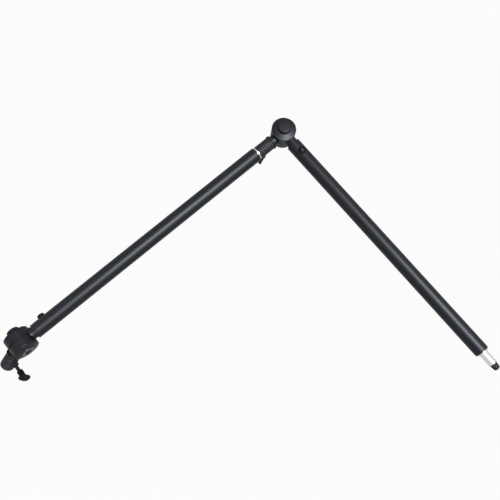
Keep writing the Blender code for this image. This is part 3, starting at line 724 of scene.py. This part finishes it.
root = bolt_r - thread_depth(bolt_pitch)
bolt = [(0, bolt_end), (root, bolt_end, 0.4), (root, bolt_thread_low), (bolt_r, bolt_thread_low - 0.8),
        (bolt_r, head_seat), (bolt_head_r, head_seat, 0.2), (bolt_head_r, head_low, 0.6), (0, head_low)]
bolt = combined(turned(outline(bolt), 96), hexagon(bolt_key, head_low - 2, head_low + bolt_key_depth))
key_lead = turned([(0, head_low - 1), (lead_r, head_low - 1), (lead_r, head_low),
                   (lead_end_r, head_low + lead_depth), (0, head_low + lead_depth)])
bolt = threaded(combined(bolt, key_lead), bolt_r, bolt_pitch, bolt_thread_low + 0.2, bolt_end - 0.6)
for section, place in section_places.items():
    place_piece(f"{section}_bolt", bolt, place, f"{section}_bolt", f"{section}_tension_bolt",
                bolt_steel)


# The two tubes: drawn aluminium, 25.4 mm across, satin black anodised, with fine lines along their length.
# Their ends are cut square and lightly rounded.
anodised, tree, shader, own, worn = new_material("anodised_tube", 0.5, gloss=0.2, tint=cool)
drawn = noise(tree, own, 3.0, 3, 0.6, stretch=(0.004, 1, 1))
lines = noise(tree, own, 9.0, 2, 0.5, stretch=(0.012, 1, 1))
cloud = noise(tree, own, 0.02, 3)
handled = noise(tree, own, 0.11, 4, 0.6).between(0.52, 0.75)
colour = mixed(tree, cloud * 0.6 + drawn * 0.4, (0.0052, 0.0057, 0.0075), (0.0080, 0.0087, 0.0110))
feed(tree, shader, Base_Color=mixed(tree, worn.between(0.03, 0.12) * 0.5, colour, (0.10, 0.10, 0.105)),
     Roughness=0.42 + lines * 0.06 + drawn * 0.04 + handled * 0.05,
     Height=(drawn * 0.5 + lines * 0.5, 0.000006))
tube_start, tube_end, tube_bore_r, around_hole = 30.5, 500.5, 10.7, 4.5
tube = outline([(tube_bore_r, tube_end, 0.25), (tube_r, tube_end, 0.6), (tube_r, stem_screw_x + around_hole),
                (tube_r, stem_screw_x - around_hole), (tube_r, tube_start, 1.0),
                (tube_bore_r, tube_start, 0.25)])
tube = moved(turned(tube, 96, ring=True), along_tube)
tube = combined(tube, moved(rod(stem_screw_hole_r, tube_bore_r - 2, tube_r + 2, 48), at_stem_screw))
for section, place in section_places.items():
    place_piece(f"{section}_black_tube", tube, place, f"{section}_arm", f"{section}_tube",
                anodised)


# The cup washers and stem screws: a cup moulded of matt plastic, hollowed to sit on the tube, with a black
# socket-head screw in its well, its key socket painted pale as a painted highlight. The screw goes through
# the tube's wall into the stem.
matt_plastic, tree, shader, own, worn = new_material("matt_plastic", 0.5, gloss=0.05, tint=cool)
grain = noise(tree, own, 1.8, 3, 0.6)
rubbed = noise(tree, own, 0.25, 3)
colour = mixed(tree, rubbed, (0.0030, 0.0033, 0.0046), (0.0050, 0.0054, 0.0070))
feed(tree, shader, Base_Color=mixed(tree, worn.between(0.03, 0.14) * 0.3, colour, (0.05, 0.05, 0.052)),
     Roughness=0.42 + grain * 0.12 + rubbed * 0.04, Height=(grain, 0.00004))
cup_r, cup_top, well_r, well_floor = 6.0, 17.1, 4.2, 14.5
saddle_start, saddle_end = 30, 70
cup = outline([(well_r, cup_top, 0.3), (cup_r, cup_top, 1.4), (cup_r, tube_bore_r),
               (stem_screw_hole_r, tube_bore_r), (stem_screw_hole_r, well_floor), (well_r, well_floor)])
cup = moved(turned(cup, 96, ring=True), at_stem_screw)
cup = combined(cup, moved(rod(tube_r + gap, saddle_start, saddle_end, 144), along_tube))
screw_seat, screw_head_r, screw_top, screw_tip = 14.8, 3.7, 16.8, 3.7
screw_r, screw_pitch, screw_thread_high, screw_key = 2.5, 0.8, 12.6, 3.0
# The screw's key socket is painted pale grey: a painted highlight standing in for its lit walls
screw_steel = steel_finish("blackened_head", (0.016, 0.016, 0.019), (0.028, 0.028, 0.031), 0.34,
                           middle=stem_screw_x, face=screw_top, inward=-1, recess_r=1.9,
                           recess_painted_light=(0.60, 0.60, 0.61))
root = screw_r - thread_depth(screw_pitch)
stem_screw = [(0, screw_top), (screw_head_r, screw_top, 0.7), (screw_head_r, screw_seat, 0.15),
              (screw_r, screw_seat), (screw_r, screw_thread_high + 0.4), (root, screw_thread_high),
              (root, screw_tip, 0.4), (0, screw_tip)]
stem_screw = combined(turned(outline(stem_screw), 64), hexagon(screw_key, screw_seat + 0.6, screw_top + 2))
stem_screw = threaded(stem_screw, screw_r, screw_pitch, screw_tip + 0.5, screw_thread_high - 0.2)
stem_screw = moved(stem_screw, at_stem_screw)
for section, place in section_places.items():
    place_piece(f"{section}_cup", cup, place, f"{section}_arm", f"{section}_cup_washer",
                matt_plastic)
    place_piece(f"{section}_socket_screw", stem_screw, place, f"{section}_arm",
                f"{section}_stem_screw", screw_steel)


# The spigots: bright plated steel, 16 mm across with a long waist for the thumb screw's tip, turned in one
# piece with a root that is pressed into the tube, a flange that lies on the tube's end, and a short threaded
# end.
bright, tree, shader, own, worn = new_material("bright_plating", 0.2, 1.0)
axes = tree.node("ShaderNodeSeparateXYZ", inputs={0: own}, output="X")
marks = tree.node("ShaderNodeCombineXYZ", inputs={"X": axes})
turning = noise(tree, marks, 4.0, 4, 0.6)
smudge = noise(tree, own, 0.2, 3, 0.6)
feed(tree, shader, Base_Color=mixed(tree, smudge, (0.56, 0.56, 0.55), (0.68, 0.68, 0.67)),
     Roughness=0.16 + turning * 0.16 + smudge.between(0.5, 0.7) * 0.10, Height=(turning, 0.000008))
spigot_r, waist_r, land, slope, tip, pressed_in = 8.0, 7.45, 3.0, 0.6, 526.5, 26
thread_r, thread_end, spigot_pitch = 4.8, 534.0, 1.5875
flange_r, flange_low, shoulder = 11.2, 500.8, 503.1
root = thread_r - thread_depth(spigot_pitch)
spigot = [(0, thread_end), (root, thread_end, 0.4), (root, tip, 0.2), (spigot_r, tip, 0.5),
          (spigot_r, tip - land, 0.2), (waist_r, tip - land - slope, 0.3),
          (waist_r, shoulder + land + slope, 0.3), (spigot_r, shoulder + land, 0.2), (spigot_r, shoulder),
          (flange_r, shoulder, 0.4), (flange_r, flange_low, 0.2), (stem_r, flange_low),
          (stem_r, tube_end - pressed_in), (0, tube_end - pressed_in)]
spigot = threaded(turned(outline(spigot), 96), thread_r, spigot_pitch, tip + 0.5, thread_end - 0.3)
spigot = moved(spigot, along_tube)
for section, place in section_places.items():
    place_piece(f"{section}_bright_spigot", spigot, place, f"{section}_arm",
                f"{section}_spigot", bright)


# The thumb screws: black steel, threaded over their length, each with a moulded plastic wing on its outer
# end. A brass pad on the inner end bears on the stud and doesn't turn.
blackened, tree, shader, own, worn = new_material("blackened_steel", 0.4, 0.85)
grain = noise(tree, own, 3.0, 3)
edge = worn.between(0.06, 0.20) * grain.between(0.40, 0.65)
feed(tree, shader, Base_Color=mixed(tree, edge * 0.4, (0.008, 0.008, 0.009), (0.06, 0.06, 0.063)),
     Roughness=0.34 + grain * 0.12, Height=(grain, 0.000008))
brass, tree, shader, own, worn = new_material("turned_brass", 0.3, 1.0)
tarnish = noise(tree, own, 0.5, 4, 0.6)
feed(tree, shader, Base_Color=mixed(tree, tarnish, (0.74, 0.55, 0.24), (0.50, 0.35, 0.13)),
     Roughness=0.24 + tarnish * 0.2)

thumb_r, thumb_pitch, thumb_low, thumb_end = 3.2, 1.27, 9.8, 36.5
root = thumb_r - thread_depth(thumb_pitch)
thumb_screw = [(0, thumb_end), (root, thumb_end, 0.3), (root, thumb_low, 0.5), (0, thumb_low)]
thumb_screw = threaded(turned(outline(thumb_screw), 48), thumb_r, thumb_pitch, thumb_low + 0.4,
                       thumb_end - 0.3)
pad_top, pad_low = 9.5, 8.3
pad = turned(outline([(0, pad_top), (thumb_r, pad_top, 0.15), (thumb_r, pad_low, 0.4), (0, pad_low)]), 48)
wing_hub_r, wing_low, wing_floor, wing_hub_top = 5.0, 31.0, 36.8, 39.8
wing_hub = turned(outline([(0, wing_hub_top), (wing_hub_r, wing_hub_top, 0.8), (wing_hub_r, wing_low, 0.8),
                           (thumb_r + gap, wing_low, 0.2), (thumb_r + gap, wing_floor), (0, wing_floor)]), 64)


def on_curve(before, start, end, after, share):
    """One measure of a spot on a smooth curve from start to end."""
    return 0.5 * (2 * start + (end - before) * share
                  + (2 * before - 5 * start + 4 * end - after) * share * share
                  + (3 * start - before - 3 * end + after) * share ** 3)


def smooth_line(points, steps=5):
    """Points on a smooth line through the given ones."""
    made = []
    padded = [points[0], *points, points[-1]]
    for four in zip(padded, padded[1:], padded[2:], padded[3:]):
        for step in range(steps):
            made.append(tuple(on_curve(*measures, step / steps) for measures in zip(*four)))
    return made + [points[-1]]


right_side = smooth_line([(4.2, 37.5), (4.9, 39.2), (6.9, 40.6), (10.0, 41.6), (12.6, 42.7), (13.95, 44.8),
                          (13.3, 47.0), (10.6, 49.1), (6.6, 50.8), (2.6, 51.45), (0, 51.5)])
blade_outline = right_side + [(-x, y) for x, y in right_side[-2::-1]]
blade_thick, blade_round = 5.0, 1.3
shape = bmesh.new()
face = shape.faces.new([shape.verts.new((x, -blade_thick / 2, y)) for x, y in blade_outline])
pushed = bmesh.ops.extrude_face_region(shape, geom=[face])["geom"]
bmesh.ops.translate(shape, vec=(0, blade_thick, 0),
                    verts=[made for made in pushed if isinstance(made, bmesh.types.BMVert)])
rims = [side for side in shape.edges if abs(side.verts[0].co.y - side.verts[1].co.y) < 1e-6]
bmesh.ops.bevel(shape, geom=rims, offset=blade_round, segments=4, profile=0.5, affect="EDGES")
bmesh.ops.recalc_face_normals(shape, faces=shape.faces)
wing = combined(wing_hub, closed_mesh(shape), "UNION")

wound_in = {"base": 6.35, "elbow": 0.55}
wing_turn = {"base": -22.6, "elbow": 67.8}
for end, place in receiver_places.items():
    bar = place @ Matrix.Translation((0, wound_in[end], screw_height)) @ to_bolt_side
    turned_bar = bar @ Matrix.Rotation(math.radians(wing_turn[end]), 4, "Z")
    place_piece(f"{end}_black_screw", thumb_screw, turned_bar, f"{end}_screw",
                f"{end}_thumb_screw", blackened)
    place_piece(f"{end}_wing", wing, turned_bar, f"{end}_screw", f"{end}_thumb_wing",
                matt_plastic)
    place_piece(f"{end}_brass_pad", pad, bar, f"{end}_screw_pad", f"{end}_tip_pad", brass)


# Inside each hinge: a fibre friction disc between the halves, a dished steel spring under the bolt's head,
# and a steel nut in its pocket.
fibre, tree, shader, own, worn = new_material("friction_fibre", 0.85)
strands = noise(tree, own, 1.4, 4, 0.7)
colour = mixed(tree, strands.between(0.35, 0.7), (0.004, 0.004, 0.004), (0.010, 0.009, 0.009))
feed(tree, shader, Base_Color=colour, Roughness=0.75 + strands * 0.2, Height=(strands, 0.00006))
spring_steel, tree, shader, own, worn = new_material("plain_steel", 0.35, 1.0)
oil = noise(tree, own, 0.3, 4, 0.6)
feed(tree, shader, Base_Color=mixed(tree, oil, (0.36, 0.36, 0.37), (0.52, 0.52, 0.53)),
     Roughness=0.28 + oil * 0.2, Height=(noise(tree, own, 4.0, 3), 0.000008))
disc_r, disc_face = 19.5, 0.6
disc = outline([(bolt_hole_r, disc_face, 0.1), (disc_r, disc_face, 0.2), (disc_r, -disc_face, 0.2),
                (bolt_hole_r, -disc_face, 0.1)], steps=3)
disc = turned(disc, 144, ring=True)
spring_r, spring_low, spring_thick, dish = 10.7, 15.8, 0.8, 0.4
spring = outline([(bolt_hole_r, spring_low + dish + spring_thick, 0.15),
                  (spring_r, spring_low + spring_thick, 0.15), (spring_r, spring_low, 0.15),
                  (bolt_hole_r, spring_low + dish, 0.15)], steps=3)
spring = turned(spring, 96, ring=True)
nut_across, nut_low, nut_high = 17.0, 7.6, 15.2
nut_face_r, nut_corner_r, nut_slope = 8.9, 9.9, 0.6
nut = combined(hexagon(nut_across, nut_low, nut_high), rod(bolt_hole_r, 0, through_hub))
nut_corner = [(0, nut_high), (nut_face_r, nut_high), (nut_corner_r, nut_high - nut_slope),
              (nut_corner_r, nut_low + nut_slope), (nut_face_r, nut_low), (0, nut_low)]
nut = combined(nut, turned(nut_corner, 96), "INTERSECT")
for end, place in receiver_places.items():
    bolt_side = place @ hinge_up @ to_bolt_side
    place_piece(f"{end}_fibre_disc", disc, bolt_side, end, f"{end}_friction_disc", fibre)
    place_piece(f"{end}_dished_spring", spring, bolt_side, end, f"{end}_disc_spring", spring_steel)
for section, place in section_places.items():
    place_piece(f"{section}_nut", nut, place, f"{section}_arm", f"{section}_hinge_nut", spring_steel)


# The cap over the free spigot's thread: soft black rubber, with a domed end and a short straight skirt. It
# pulls off by hand.
rubber, tree, shader, own, worn = new_material("cap_rubber", 0.65, gloss=0.2, tint=cool)
grain = noise(tree, own, 2.2, 3, 0.6)
dust = noise(tree, own, 0.3, 4, 0.65).between(0.5, 0.8)
feed(tree, shader, Base_Color=mixed(tree, dust, (0.010, 0.010, 0.010), (0.018, 0.0175, 0.017)),
     Roughness=0.56 + grain * 0.12 + dust * 0.08, Height=(grain, 0.00004))
cap_r, cap_top_r, cap_length, cap_dome, cap_hole_r, cap_hole = 6.4, 5.4, 11.7, 2.6, 5.1, 7.5
skirt, dome_steps = 1.4, 8
turns = [math.pi / 2 * i / dome_steps for i in range(dome_steps + 1)]
cap = [(cap_top_r * math.sin(turn), cap_length - cap_dome * (1 - math.cos(turn))) for turn in turns]
cap += [(cap_r, skirt, 0.3), (cap_r, 0, 0.4), (cap_hole_r, 0, 0.2), (cap_hole_r, cap_hole, 0.3),
        (0, cap_hole)]
cap = moved(turned(outline(cap), 96), Matrix.Translation((0, 0, tip + gap)), along_tube)
place_piece("rubber_cap", cap, section_places["upper"], "cap", "thread_cap", rubber)
